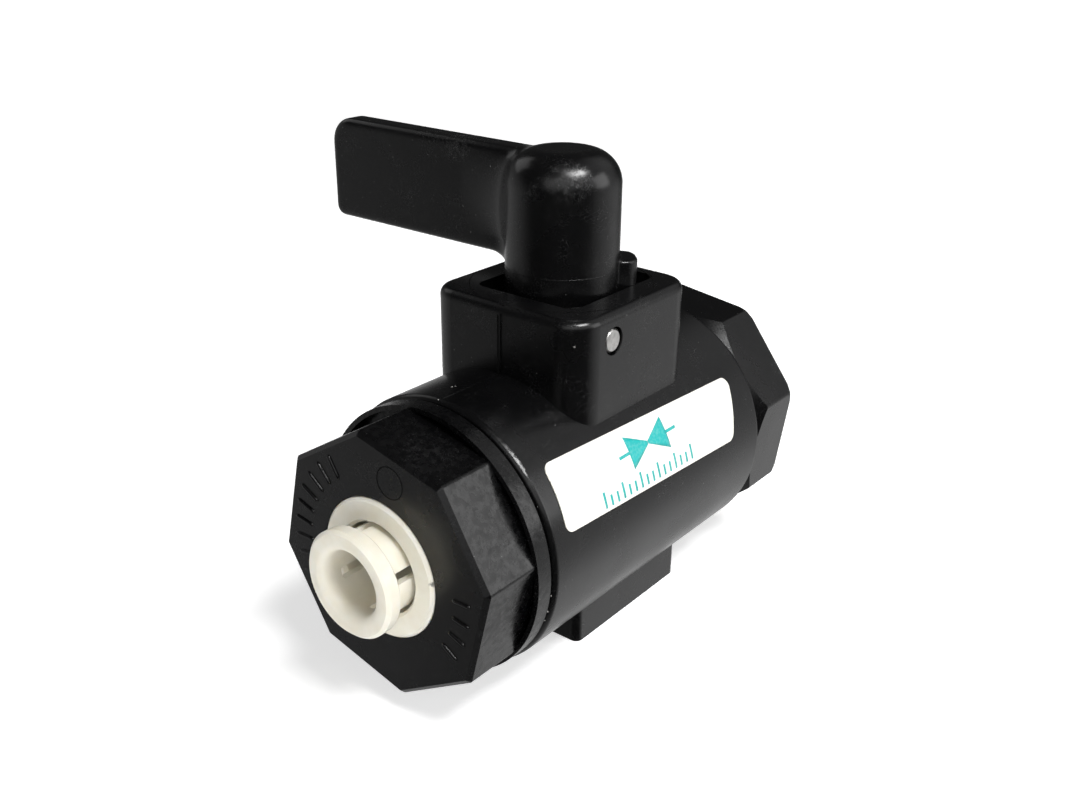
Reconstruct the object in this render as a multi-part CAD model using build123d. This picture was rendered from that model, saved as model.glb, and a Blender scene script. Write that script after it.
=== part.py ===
"""A small quarter-turn ball valve with push-in tube ports, lever shut across the barrel.

Frame: the flow axis runs along X, the stem axis is Z, and the origin is on the underside of the
foot, straight below the stem. Each piece is modelled with its centre where both axes cross, and
is lifted by FLOW_HEIGHT when it is written. The screwed cap is at -X, and the lever points to +Y.
"""
from build123d import *
import os
from math import acos, cos, degrees, radians, sin, sqrt

# Sizes that drive the whole valve
CAP_FLATS = 25.4            # across the flats of the cap's octagon
PORT_FACE = 27.5            # stem axis to the cap's face
REAR_FACE = 27.2            # stem axis to the rear face
TUBE_DIAMETER = 6.35        # the tube that the ports take

# Fits
RUNNING_GAP = 0.06          # radial gap of turning and sliding parts
SEAT_GAP = 0.05             # between the ball and its seats
LOOSE_GAP = 0.1             # gap of pieces that only sit in a recess
TOUCH_GAP = 0.01            # keeps a seal's round side off its groove
OVERSHOOT = 1.0             # how far a cut runs past the face that it opens

# Shape of both heads
OCTAGON_SIDES = 8
HALF_TURN = 180.0           # degrees

# Barrel
BARREL_STEP = 1.55          # the barrel's side stands this far out from the cap's flats
BARREL_RADIUS = CAP_FLATS / 2 + BARREL_STEP
BARREL_WALL = 3.85          # to the spigot's thread
BARREL_EDGE = 0.6
BARREL_REAR_END = 19.6      # where the barrel's round end begins to fall to the octagon
BARREL_REAR_ROUND = 0.9

# Rear octagon, part of the body
REAR_STEP = 0.7             # its flats stand this far out from the cap's
REAR_FLATS = CAP_FLATS + 2 * REAR_STEP
REAR_TURN = 7.5             # degrees about the flow axis
REAR_CORNER = 0.6
REAR_CHAMFER_START = 0.5    # from the barrel's end to the cone on the octagon's corners
REAR_CHAMFER_LENGTH = 1.3
REAR_EDGE = 0.4

# Front cap
CAP_TURN = 13.5             # degrees, as far as it was screwed in
CAP_CORNER = 0.5
CAP_EDGE = 0.45
HEAD_LENGTH = 6.6
FLANGE_STEP = 0.3           # the flange lies this far inside the barrel's side
FLANGE_RADIUS = BARREL_RADIUS - FLANGE_STEP
FLANGE_LENGTH = 1.8
FLANGE_LIP = 0.5            # wall of the lip round the pockets
FLANGE_WEB = 0.5            # floor behind the pockets
FLANGE_TO_BARREL = 0.3
SPIGOT_RADIUS = BARREL_RADIUS - BARREL_WALL
SPIGOT_NECK_STEP = 0.2
SPIGOT_NECK_RADIUS = SPIGOT_RADIUS - SPIGOT_NECK_STEP

# Stem boss
BOSS_LENGTH = 20.1          # along the flow, at the mould seam
BOSS_INSET = 4.45           # barrel's side to the boss's side
BOSS_WIDTH = 2 * (BARREL_RADIUS - BOSS_INSET)   # across the flow
BOSS_DRAFT = 0.22           # its faces across the flow fall back this far from the seam to the corners
BOSS_OFFSET = 0.1           # its centre lies this far behind the stem axis
BOSS_HEIGHT = 7.05          # above the barrel
BOSS_TOP = BARREL_RADIUS + BOSS_HEIGHT
BOSS_CORNER = 3.2
BOSS_EDGE = 0.9
POCKET_FLAT = 6.35          # stem axis to the two sides that stop the lug
POCKET_FRONT = 6.4          # stem axis to the side towards the cap
POCKET_REAR = 8.0           # stem axis to the side that the lug passes
POCKET_CORNER = 1.2
POCKET_DEPTH = 1.2

# Foot pad
FOOT_HEIGHT = 1.75          # below the barrel
FLOW_HEIGHT = BARREL_RADIUS + FOOT_HEIGHT       # foot's underside to the flow axis
FOOT_LENGTH = 19.0
FOOT_WIDTH = 16.6
FOOT_OFFSET = 2.5           # its centre lies this far behind the stem axis
FOOT_CORNER = 0.8
FOOT_ROOT = 1.2
FOOT_SEARCH = 0.3           # tolerance for finding the edges where the foot meets the barrel

# Lever and stem, one moulding
HUB_RADIUS = 5.9
HUB_HEIGHT = 13.8           # above the boss
HUB_TOP = BOSS_TOP + HUB_HEIGHT
HUB_ROUND = 3.4
HUB_FLOOR_GAP = 0.2
BLADE_REACH = 32.2
BLADE_THICKNESS = 3.4
BLADE_CLEARANCE = 1.95      # above the boss
BLADE_DROP = 0.5            # below the hub's top
BLADE_BOTTOM = BOSS_TOP + BLADE_CLEARANCE
BLADE_TOP = HUB_TOP - BLADE_DROP
BLADE_EDGE = 0.85
BLADE_TIP_TOP = 2.8
BLADE_TIP_BOTTOM = 1.2
BLADE_ROOT = 2.9
LUG_REACH = 7.7
LUG_WIDTH = 4.2
LUG_CORNER = 1.5
LUG_HEIGHT = 2.65           # above the boss
LUG_TOP = BOSS_TOP + LUG_HEIGHT
LUG_TURN = -45.0            # degrees from the flow axis, halfway between its stops when half open
STEM_RADIUS = 4.5
STEM_END = 7.2
TANG_THICKNESS = 2.4
TANG_LENGTH = 7.0
TANG_DEPTH = 2.7

# Retaining pin
PIN_RADIUS = 1.25
PIN_OFFSET = 4.3            # from the stem axis towards the cap
PIN_DEPTH = 2.9             # below the boss's top
PIN_HEIGHT = BOSS_TOP - PIN_DEPTH
PIN_RECESS = 0.1
PIN_LENGTH = 15.5
PIN_EDGE = 0.2
PIN_HOLE_GAP = 0.03
PIN_MOUTH_GAP = 0.2         # radial gap in the hole's wider mouth
PIN_MOUTH_DEPTH = 1.5
PIN_GROOVE_GAP = 0.1

# Ball and seats
BALL_RADIUS = 6.35
BALL_BORE = 2.6
CHAMBER_GAP = 0.55
SEAT_INNER = 2.9
SEAT_FACE = 4.3             # stem axis to the seat's front
SEAT_BACK = 8.0             # stem axis to the seat's back
SEAT_EDGE = 0.5
SEAT_SEAL_RADIUS = 5.0
SEAT_SEAL_SECTION = 0.7

# Round seals
CAP_SEAL_SECTION = 0.85
STEM_SEAL_SECTION = 0.62
STEM_SEAL_DEPTH = 6.7       # upper seal, below the boss's top
STEM_SEAL_SPACING = 3.2
STEM_SEAL_UPPER = BOSS_TOP - STEM_SEAL_DEPTH
STEM_SEAL_LOWER = STEM_SEAL_UPPER - STEM_SEAL_SPACING
SEAL_GROOVE_SIDE = 0.2
TUBE_SEAL_SECTION = 1.0
TUBE_SEAL_DEPTH = 8.9

# Tube port, depths from the end face
CARTRIDGE_RADIUS = 7.15
CARTRIDGE_OUT = 0.3         # stands out of the port's face
CARTRIDGE_DEPTH = 7.4
CARTRIDGE_EDGE = 0.3
CARTRIDGE_HOLE = 4.75
CARTRIDGE_CONE_START = 2.2
CARTRIDGE_CONE_END = 4.6
CARTRIDGE_INSIDE = 5.55
GLAND_RADIUS = 5.2
GLAND_DEPTH = 10.3
TUBE_STOP_DEPTH = 14.0
TUBE_GAP = 0.075
WATERWAY_RADIUS = 2.6

# Collet, drawn out
COLLET_OUT = 4.1            # front face to the port's face
COLLET_FLANGE_RADIUS = 5.44
COLLET_FLANGE_LENGTH = 1.8
COLLET_FLANGE_EDGE = 0.35
COLLET_MOUTH_RADIUS = 4.35
COLLET_MOUTH_DEPTH = 1.4
COLLET_WALL = 1.1
COLLET_END = 5.4
COLLET_TIP_RADIUS = 5.0
COLLET_TIP_LENGTH = 1.3
COLLET_TIP_RAMP = 0.6
SLOT_COUNT = 4
SLOT_WIDTH = 1.15
SLOT_CORNER = 0.3
SLOT_START = 1.9            # ahead of the port's face
SLOT_TURN = 16.5            # degrees above the horizontal
TOOTH_SPAN = 56.0           # degrees
TOOTH_THICKNESS = 0.3
TOOTH_DEPTH = 3.4
TOOTH_LEAN = 0.5
TOOTH_INSET = 0.25

# Label
LABEL_LENGTH = 29.9         # along its lower edge
LABEL_SLANT = 2.1           # its upper edge is longer by this
LABEL_WIDTH = 6.9
LABEL_THICKNESS = 0.1
LABEL_CORNER = 1.0
LABEL_FRONT = -16.4         # its front end
LABEL_TO_BOSS = 0.87        # its upper edge to the boss, round the barrel
LABEL_TILT = -2.2           # degrees, its rear end stuck on lower

# Places that follow from the sizes above
BORE_RADIUS = TUBE_DIAMETER / 2 + TUBE_GAP
CHAMBER_RADIUS = BALL_RADIUS + CHAMBER_GAP
BARREL_FRONT = -(PORT_FACE - HEAD_LENGTH - FLANGE_LENGTH - FLANGE_TO_BARREL)
FLANGE_FRONT = -(PORT_FACE - HEAD_LENGTH)
FLANGE_BACK = FLANGE_FRONT + FLANGE_LENGTH
CAP_SEAL_RADIUS = SPIGOT_NECK_RADIUS + CAP_SEAL_SECTION
CAP_SEAL_STEP = FLANGE_BACK + 2 * (CAP_SEAL_SECTION + LOOSE_GAP)
POCKET_FLOOR = BOSS_TOP - POCKET_DEPTH
HUB_BOTTOM = POCKET_FLOOR + HUB_FLOOR_GAP
STEM_BORE = STEM_RADIUS + RUNNING_GAP
TANG_END = STEM_END - TANG_DEPTH
COLLET_TUBE_RADIUS = BORE_RADIUS + COLLET_WALL
BOSS_ELEVATION = degrees(acos(BOSS_WIDTH / 2 / BARREL_RADIUS))
LABEL_ELEVATION = BOSS_ELEVATION - degrees((LABEL_TO_BOSS + LABEL_WIDTH / 2) / BARREL_RADIUS)


def around_flow(points):
    """Ring about the flow axis from its half section, given as (x, radius) points."""
    section = Plane.XZ * make_face(Polyline(*points, close=True))
    return revolve(section, axis=Axis.X)


def around_stem(points):
    """Ring about the stem axis from its half section, given as (radius, z) points."""
    section = Plane.XZ * make_face(Polyline(*points, close=True))
    return revolve(section, axis=Axis.Z)


def disc_along_flow(start, end, radius):
    """Plain cylinder on the flow axis between two stations."""
    return Pos((start + end) / 2, 0, 0) * Rot(0, 90, 0) * Cylinder(radius, end - start)


def round_seal(axis_station, ring_radius, section_radius):
    """Rubber ring about the flow axis."""
    return Pos(axis_station, 0, 0) * Rot(0, 90, 0) * Torus(ring_radius, section_radius - TOUCH_GAP)


def octagon_prism(start, end, flats, turn, corner):
    """Octagonal bar on the flow axis, one flat on top before it is turned."""
    outline = RegularPolygon(flats / 2, OCTAGON_SIDES, major_radius=False)
    outline = fillet(outline.vertices(), corner)
    half_side = HALF_TURN / OCTAGON_SIDES
    return extrude(Plane.YZ.offset(start) * Rot(0, 0, turn + half_side) * outline, end - start)


def mirrored(shape):
    """The same piece on the other side of the stem axis."""
    return mirror(shape, about=Plane.YZ)


def at_rear_port(shape):
    """A piece of the front port, placed in the rear port."""
    return Pos(REAR_FACE - PORT_FACE, 0, 0) * mirrored(shape)


def port_cut():
    """Everything that the front tube port removes: cartridge recess, gland, tube socket and waterway."""
    recess = CARTRIDGE_RADIUS + LOOSE_GAP
    return around_flow([
        (-PORT_FACE - OVERSHOOT, 0), (-PORT_FACE - OVERSHOOT, recess),
        (-PORT_FACE + CARTRIDGE_DEPTH, recess), (-PORT_FACE + CARTRIDGE_DEPTH, GLAND_RADIUS),
        (-PORT_FACE + GLAND_DEPTH, GLAND_RADIUS), (-PORT_FACE + GLAND_DEPTH, BORE_RADIUS),
        (-PORT_FACE + TUBE_STOP_DEPTH, BORE_RADIUS), (-PORT_FACE + TUBE_STOP_DEPTH, WATERWAY_RADIUS),
        (-SEAT_BACK + OVERSHOOT, WATERWAY_RADIUS), (-SEAT_BACK + OVERSHOOT, 0)])


def seat_seal_groove():
    """Ring groove behind the front seat, open towards the ball."""
    depth = 2 * SEAT_SEAL_SECTION
    inner = SEAT_SEAL_RADIUS - SEAT_SEAL_SECTION - LOOSE_GAP
    outer = SEAT_SEAL_RADIUS + SEAT_SEAL_SECTION + LOOSE_GAP
    back = -SEAT_BACK - depth
    front = -SEAT_BACK + OVERSHOOT
    core = disc_along_flow(back - OVERSHOOT, front + OVERSHOOT, inner)
    return disc_along_flow(back, front, outer) - core


def rear_head():
    """Octagon at the barrel's rear end, its corners turned down to a cone where they meet the barrel."""
    start = BARREL_REAR_END - BARREL_REAR_ROUND
    bar = octagon_prism(start, REAR_FACE, REAR_FLATS, REAR_TURN, REAR_CORNER)
    across_corners = REAR_FLATS / 2 / cos(radians(HALF_TURN / OCTAGON_SIDES))
    cone_start = BARREL_REAR_END + REAR_CHAMFER_START
    envelope = around_flow([
        (start, 0), (start, REAR_FLATS / 2), (cone_start, REAR_FLATS / 2),
        (cone_start + REAR_CHAMFER_LENGTH, across_corners), (REAR_FACE - REAR_EDGE, across_corners),
        (REAR_FACE, across_corners - REAR_EDGE), (REAR_FACE, 0)])
    return bar & envelope


def boss():
    """Square stem boss on top of the barrel."""
    seam = BOSS_LENGTH / 2
    corner = seam - BOSS_DRAFT
    side = BOSS_WIDTH / 2
    outline = make_face(Polyline((-seam, 0), (-corner, -side), (corner, -side),
                                 (seam, 0), (corner, side), (-corner, side), close=True))
    outline = fillet([v for v in outline.vertices() if abs(v.Y) > side / 2], BOSS_CORNER)
    block = Pos(BOSS_OFFSET, 0, 0) * extrude(outline, BOSS_TOP)
    return fillet(block.faces().sort_by(Axis.Z)[-1].edges(), BOSS_EDGE)


def stop_pocket():
    """Recess that the hub stands in. Its two straight sides stop the lug."""
    outline = RectangleRounded(POCKET_REAR + POCKET_FRONT, 2 * POCKET_FLAT, POCKET_CORNER)
    centre = Pos((POCKET_REAR - POCKET_FRONT) / 2, 0, POCKET_FLOOR)
    return centre * extrude(outline, POCKET_DEPTH + OVERSHOOT)


def foot():
    """Pad under the barrel that the valve rests on."""
    outline = RectangleRounded(FOOT_LENGTH, FOOT_WIDTH, FOOT_CORNER)
    return Pos(FOOT_OFFSET, 0, -FLOW_HEIGHT) * extrude(outline, FLOW_HEIGHT)


def rod_across_flow(start, end, radius):
    """Plain cylinder on the pin's axis between two stations across the flow."""
    return Pos(-PIN_OFFSET, (start + end) / 2, PIN_HEIGHT) * Rot(90, 0, 0) * Cylinder(radius, end - start)


def pin_hole():
    """Blind hole from the near side of the boss, past the stem's side, with a wider mouth."""
    face = -BOSS_WIDTH / 2
    bore = rod_across_flow(face - OVERSHOOT, face + PIN_RECESS + PIN_LENGTH, PIN_RADIUS + PIN_HOLE_GAP)
    return bore + rod_across_flow(face - OVERSHOOT, face + PIN_MOUTH_DEPTH, PIN_RADIUS + PIN_MOUTH_GAP)


def valve_body():
    """Barrel, boss, foot and rear octagon as one moulding, with all its bores."""
    barrel = disc_along_flow(BARREL_FRONT, BARREL_REAR_END, BARREL_RADIUS)
    barrel = fillet(barrel.edges().filter_by(GeomType.CIRCLE).sort_by(Axis.X)[0], BARREL_EDGE)
    barrel = fillet(barrel.edges().filter_by(GeomType.CIRCLE).sort_by(Axis.X)[-1], BARREL_REAR_ROUND)
    padded = barrel + foot()
    root = [e for e in padded.edges() if is_foot_root(e)]
    padded = fillet(root, FOOT_ROOT)
    solid = padded + boss() + rear_head()
    cap_bore = around_flow([
        (BARREL_FRONT - OVERSHOOT, 0), (BARREL_FRONT - OVERSHOOT, CAP_SEAL_RADIUS + CAP_SEAL_SECTION),
        (CAP_SEAL_STEP, CAP_SEAL_RADIUS + CAP_SEAL_SECTION), (CAP_SEAL_STEP, SPIGOT_RADIUS + LOOSE_GAP),
        (-SEAT_BACK, SPIGOT_RADIUS + LOOSE_GAP), (-SEAT_BACK, CHAMBER_RADIUS),
        (SEAT_BACK, CHAMBER_RADIUS), (SEAT_BACK, 0)])
    stem_bore = Pos(0, 0, BOSS_TOP / 2) * Cylinder(STEM_BORE, BOSS_TOP)
    solid = solid - cap_bore - at_rear_port(port_cut()) - mirrored(seat_seal_groove())
    return solid - stem_bore - stop_pocket() - pin_hole()


def is_foot_root(edge):
    """True for the edges where the foot runs into the barrel."""
    middle = edge @ 0.5
    on_barrel = abs(sqrt(middle.Y ** 2 + middle.Z ** 2) - BARREL_RADIUS) < FOOT_SEARCH
    in_length = abs(middle.X - FOOT_OFFSET) < FOOT_LENGTH / 2 + FOOT_SEARCH
    return on_barrel and in_length and middle.Z < -BARREL_RADIUS / 2


def end_cap():
    """Octagonal head, pocketed flange and spigot, with the front tube port."""
    head = octagon_prism(-PORT_FACE, FLANGE_BACK, CAP_FLATS, CAP_TURN, CAP_CORNER)
    head = chamfer(head.faces().sort_by(Axis.X)[0].edges(), CAP_EDGE)
    web = disc_along_flow(FLANGE_BACK - FLANGE_WEB, FLANGE_BACK, FLANGE_RADIUS)
    lip = disc_along_flow(FLANGE_FRONT, FLANGE_BACK, FLANGE_RADIUS)
    lip = lip - disc_along_flow(FLANGE_FRONT - OVERSHOOT, FLANGE_BACK + OVERSHOOT, FLANGE_RADIUS - FLANGE_LIP)
    spigot = around_flow([
        (FLANGE_BACK, 0), (FLANGE_BACK, SPIGOT_NECK_RADIUS), (CAP_SEAL_STEP + LOOSE_GAP, SPIGOT_NECK_RADIUS),
        (CAP_SEAL_STEP + LOOSE_GAP, SPIGOT_RADIUS), (-SEAT_BACK, SPIGOT_RADIUS), (-SEAT_BACK, 0)])
    return head + web + lip + spigot - port_cut() - seat_seal_groove()


def stem_shank():
    """Round stem from the hub down to its tang, with the pin groove and two seal grooves."""
    pin_groove = PIN_OFFSET - PIN_RADIUS - PIN_GROOVE_GAP
    seal_groove = STEM_BORE - 2 * STEM_SEAL_SECTION
    points = [(0, HUB_BOTTOM), (STEM_RADIUS, HUB_BOTTOM)]
    grooves = [(PIN_HEIGHT, PIN_RADIUS + PIN_GROOVE_GAP, pin_groove)]
    for height in (STEM_SEAL_UPPER, STEM_SEAL_LOWER):
        grooves.append((height, STEM_SEAL_SECTION + SEAL_GROOVE_SIDE, seal_groove))
    for height, half_width, floor in grooves:
        points += [(STEM_RADIUS, height + half_width), (floor, height + half_width)]
        points += [(floor, height - half_width), (STEM_RADIUS, height - half_width)]
    points += [(STEM_RADIUS, STEM_END), (0, STEM_END)]
    tang = Pos(0, 0, TANG_END + TANG_DEPTH) * Box(TANG_LENGTH, TANG_THICKNESS, 2 * TANG_DEPTH)
    trim = Pos(0, 0, TANG_END + TANG_DEPTH / 2) * Cylinder(STEM_RADIUS, TANG_DEPTH + TOUCH_GAP)
    return around_stem(points) + (tang & trim)


def blade():
    """Flat lever that runs out of the hub towards +Y, with rounded edges and tip."""
    height = BLADE_TOP - BLADE_BOTTOM
    slab = Pos(0, BLADE_REACH / 2, BLADE_BOTTOM + height / 2) * Box(BLADE_THICKNESS, BLADE_REACH, height)
    tip = slab.edges().filter_by(Axis.X).group_by(Axis.Y)[-1].sort_by(Axis.Z)
    slab = fillet(tip[-1], BLADE_TIP_TOP)
    tip = slab.edges().filter_by(Axis.X).group_by(Axis.Y)[-1].sort_by(Axis.Z)
    slab = fillet(tip[0], BLADE_TIP_BOTTOM)
    sides = slab.faces().filter_by(Axis.X)
    rim = [e for side in sides for e in side.edges() if (e @ 0.5).Y > LOOSE_GAP]
    return fillet(rim, BLADE_EDGE)


def stop_lug():
    """Rounded block on the hub's side that swings in the boss's pocket."""
    block = Box(2 * LUG_REACH, LUG_WIDTH, LUG_TOP - HUB_BOTTOM)
    block = fillet(block.edges().filter_by(Axis.Z).sort_by(Axis.X)[-2:], LUG_CORNER)
    block = block & Pos(LUG_REACH / 2, 0, 0) * Box(LUG_REACH, LUG_WIDTH, LUG_TOP)
    return Pos(0, 0, (HUB_BOTTOM + LUG_TOP) / 2) * Rot(0, 0, LUG_TURN) * block


def handle_stem():
    """Lever, hub, stop lug and stem as one moulding."""
    hub = Pos(0, 0, (HUB_TOP + HUB_BOTTOM) / 2) * Cylinder(HUB_RADIUS, HUB_TOP - HUB_BOTTOM)
    hub = fillet(hub.edges().sort_by(Axis.Z)[-1], HUB_ROUND)
    grip = hub + blade()
    grip = fillet([e for e in grip.edges() if is_blade_root(e)], BLADE_ROOT)
    return grip + stop_lug() + stem_shank()


def is_blade_root(edge):
    """True for the edges where the blade runs out of the hub."""
    middle = edge @ 0.5
    return HUB_RADIUS / 2 < middle.Y < HUB_RADIUS + TOUCH_GAP and abs(middle.X) < BLADE_THICKNESS


def stem_pin():
    """Steel pin beside the stem, set a little below the face of the boss."""
    start = -BOSS_WIDTH / 2 + PIN_RECESS
    pin = rod_across_flow(start, start + PIN_LENGTH, PIN_RADIUS)
    return chamfer(pin.edges().filter_by(GeomType.CIRCLE), PIN_EDGE)


def ball():
    """Bored ball, shut: its bore lies across the flow, and its slot takes the stem's tang."""
    slot_floor = TANG_END - LOOSE_GAP
    slot_height = BALL_RADIUS - slot_floor + OVERSHOOT
    slot = Box(3 * BALL_RADIUS, TANG_THICKNESS + LOOSE_GAP, slot_height)
    slot = Pos(0, 0, slot_floor + slot_height / 2) * slot
    bore = Rot(90, 0, 0) * Cylinder(BALL_BORE, 3 * BALL_RADIUS)
    return Sphere(BALL_RADIUS) - bore - slot


def seat_front():
    """Seat ring with a hollow face that follows the ball."""
    outer = CHAMBER_RADIUS - LOOSE_GAP
    block = around_flow([
        (-SEAT_BACK, SEAT_INNER), (-SEAT_BACK, outer), (-SEAT_FACE - SEAT_EDGE, outer),
        (-SEAT_FACE, outer - SEAT_EDGE), (-SEAT_FACE, SEAT_INNER)])
    return block - Sphere(BALL_RADIUS + SEAT_GAP)


def stem_seal(height):
    """Rubber ring in one of the stem's grooves, just clear of the bore."""
    ring_radius = STEM_BORE - STEM_SEAL_SECTION - RUNNING_GAP / 2
    return Pos(0, 0, height) * Torus(ring_radius, STEM_SEAL_SECTION - RUNNING_GAP / 2)


def cartridge_front():
    """White ring in the port that holds the collet, opening to a cone inside."""
    face = -PORT_FACE
    front = face - CARTRIDGE_OUT
    hole = CARTRIDGE_HOLE
    return around_flow([
        (front, hole + CARTRIDGE_EDGE), (front, CARTRIDGE_RADIUS - CARTRIDGE_EDGE),
        (front + CARTRIDGE_EDGE, CARTRIDGE_RADIUS), (face + CARTRIDGE_DEPTH, CARTRIDGE_RADIUS),
        (face + CARTRIDGE_DEPTH, CARTRIDGE_INSIDE), (face + CARTRIDGE_CONE_END, CARTRIDGE_INSIDE),
        (face + CARTRIDGE_CONE_START, hole), (front + CARTRIDGE_EDGE, hole)])


def tooth_ring():
    """Thin leaning steel ring that the teeth are sectors of."""
    inner = BORE_RADIUS + TOUCH_GAP
    outer = COLLET_TUBE_RADIUS + TOOTH_INSET
    station = -PORT_FACE + TOOTH_DEPTH
    return around_flow([
        (station + TOOTH_LEAN, inner), (station + TOOTH_LEAN + TOOTH_THICKNESS, inner),
        (station + TOOTH_THICKNESS, outer), (station, outer)])


def leg_sector(turn, span):
    """Wedge about the flow axis that covers one leg."""
    reach = 3 * COLLET_TIP_RADIUS
    half = radians(span / 2)
    wedge = make_face(Polyline((0, 0), (reach, reach * sin(-half) / cos(half)),
                               (reach, reach * sin(half) / cos(half)), close=True))
    wedge = extrude(Plane.YZ.offset(-PORT_FACE - COLLET_OUT) * Rot(0, 0, turn) * wedge, 3 * COLLET_OUT)
    return wedge


def leg_turns():
    """Angles of the legs' middles in the Y-Z plane, halfway between the slots."""
    step = 360 / SLOT_COUNT
    return [180 - SLOT_TURN + step / 2 + step * i for i in range(SLOT_COUNT)]


def grip_teeth_front():
    """One steel tooth in each leg of the front collet."""
    ring = tooth_ring()
    return [ring & leg_sector(turn, TOOTH_SPAN) for turn in leg_turns()]


def collet_front():
    """Release collet: flared flange, thin tube and four slotted legs with thick tips."""
    face = -PORT_FACE - COLLET_OUT
    back = face + COLLET_FLANGE_LENGTH
    end = -PORT_FACE + COLLET_END
    tip = end - COLLET_TIP_LENGTH
    tube = COLLET_TUBE_RADIUS
    edge = COLLET_FLANGE_EDGE
    solid = around_flow([
        (face, BORE_RADIUS), (face, COLLET_FLANGE_RADIUS - edge), (face + edge, COLLET_FLANGE_RADIUS),
        (back - edge, COLLET_FLANGE_RADIUS), (back, COLLET_FLANGE_RADIUS - edge), (back, tube),
        (tip - COLLET_TIP_RAMP, tube), (tip, COLLET_TIP_RADIUS), (end - COLLET_TIP_RAMP, COLLET_TIP_RADIUS),
        (end, tube), (end, BORE_RADIUS)])
    solid = solid - collet_mouth()
    for i in range(SLOT_COUNT):
        turn = 180 - SLOT_TURN + i * 360 / SLOT_COUNT
        solid = solid - leg_slot(turn)
    for tooth in grip_teeth_front():
        solid = solid - tooth
    return solid


def collet_mouth():
    """Trumpet-shaped flare from the collet's front face down to its bore."""
    face = -PORT_FACE - COLLET_OUT
    start = (face, COLLET_MOUTH_RADIUS)
    end = (face + COLLET_MOUTH_DEPTH, BORE_RADIUS)
    flare = Spline(start, end, tangents=((0, -1), (1, 0)))
    rest = Polyline(end, (end[0], 0), (face - OVERSHOOT, 0), (face - OVERSHOOT, start[1]), start)
    return revolve(Plane.XZ * make_face([flare, rest]), axis=Axis.X)


def leg_slot(turn):
    """Slot between two legs, rounded at the corners of its front end."""
    start = -PORT_FACE - SLOT_START
    end = -PORT_FACE + COLLET_END + OVERSHOOT
    reach = 2 * COLLET_TIP_RADIUS
    slot = Pos((start + end) / 2, reach / 2, 0) * Box(end - start, reach, SLOT_WIDTH)
    slot = fillet(slot.edges().filter_by(Axis.Y).sort_by(Axis.X)[:2], SLOT_CORNER)
    return Rot(turn, 0, 0) * slot


def label():
    """Thin sticker wrapped on the barrel's near side."""
    inner = BARREL_RADIUS + TOUCH_GAP
    reach = LABEL_LENGTH + OVERSHOOT
    shell = disc_along_flow(-LABEL_LENGTH, LABEL_LENGTH, inner + LABEL_THICKNESS)
    shell = shell - disc_along_flow(-reach, reach, inner)
    half = LABEL_WIDTH / 2
    outline = make_face(Polyline((0, -half), (LABEL_LENGTH, -half), (LABEL_LENGTH + LABEL_SLANT, half),
                                 (0, half), close=True))
    outline = Rot(0, 0, LABEL_TILT) * fillet(outline.vertices(), LABEL_CORNER)
    stamp = extrude(Plane.XZ * outline, 2 * BARREL_RADIUS)
    return shell & (Pos(LABEL_FRONT, 0, 0) * Rot(-LABEL_ELEVATION, 0, 0) * stamp)


def write(name, shape):
    """Lifts a piece to its place above the foot and writes it."""
    solids = shape if isinstance(shape, list) else [shape]
    placed = [Pos(0, 0, FLOW_HEIGHT) * s for s in solids]
    export_step(placed[0] if len(placed) == 1 else Compound(children=placed), "parts/" + name + ".step")


def main():
    os.makedirs("parts", exist_ok=True)
    seat = seat_front()
    seat_seal = round_seal(-SEAT_BACK - SEAT_SEAL_SECTION, SEAT_SEAL_RADIUS, SEAT_SEAL_SECTION)
    cartridge = cartridge_front()
    collet = collet_front()
    teeth = grip_teeth_front()
    tube_seal = round_seal(-PORT_FACE + TUBE_SEAL_DEPTH, GLAND_RADIUS - TUBE_SEAL_SECTION, TUBE_SEAL_SECTION)
    cap_seal = round_seal((FLANGE_BACK + CAP_SEAL_STEP) / 2, CAP_SEAL_RADIUS, CAP_SEAL_SECTION)
    write("valve_body", valve_body())
    write("end_cap", end_cap())
    write("handle_stem", handle_stem())
    write("stem_pin", stem_pin())
    write("ball", ball())
    write("cap_seal", cap_seal)
    write("stem_seal_upper", stem_seal(STEM_SEAL_UPPER))
    write("stem_seal_lower", stem_seal(STEM_SEAL_LOWER))
    write("label", label())
    for name, front in (("seat", seat), ("seat_seal", seat_seal)):
        write(name + "_front", front)
        write(name + "_rear", mirrored(front))
    for name, front in (("cartridge", cartridge), ("collet", collet), ("tube_seal", tube_seal)):
        write(name + "_front", front)
        write(name + "_rear", at_rear_port(front))
    write("grip_teeth_front", teeth)
    write("grip_teeth_rear", [at_rear_port(tooth) for tooth in teeth])


main()
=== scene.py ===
"""Looks of a small black ball valve with white push-in tube ports, on a pale floor.

Lengths in the values below are in millimetres in the part's own frame: the flow axis lies along X at
FLOW_HEIGHT, the stem axis is Z, and the screwed cap is at -X. The meshes are in metres.
"""
import math

import bmesh
import bpy
import numpy as np
from mathutils import Matrix, Vector


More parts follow.
